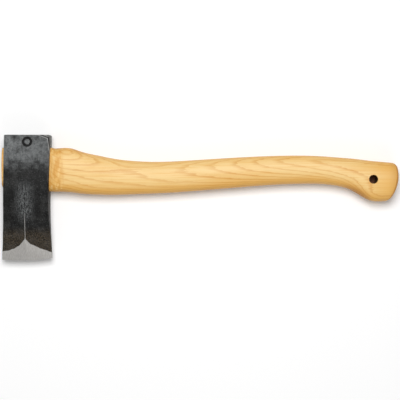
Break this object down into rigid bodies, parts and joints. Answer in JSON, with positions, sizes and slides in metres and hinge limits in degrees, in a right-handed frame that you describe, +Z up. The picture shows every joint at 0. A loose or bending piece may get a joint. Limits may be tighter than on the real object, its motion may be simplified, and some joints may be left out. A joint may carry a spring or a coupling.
{
  "type": "hatchet",
  "caption": "Hand hatchet: forged wedge-shaped head with hollow cheeks and a flat poll, wedged on a curved wooden handle whose swelled knob is drilled for a lanyard.",
  "frame": {"origin": "on the flat of the lower cheek, under the centre of the eye, with the hatchet lying on its side", "axes": "+X from the head along the handle to the knob, +Y from the cutting edge to the poll, +Z up out of the upper cheek"},
  "size_m": [0.3819, 0.1212, 0.028],
  "materials": {
    "forged_steel": "blackened forging scale, with a ground bright bevel at the edge",
    "handle_wood": "oiled straight-grained hickory or ash",
    "wedge_wood": "end grain of a hardwood wedge, trimmed flush",
    "ring_steel": "plain steel, hammer marked"
  },
  "bodies": {
    "root": {"axe_head": "forged_steel", "handle": "handle_wood", "wooden_wedge": "wedge_wood", "ring_wedge": "ring_steel"}
  },
  "joints": []
}
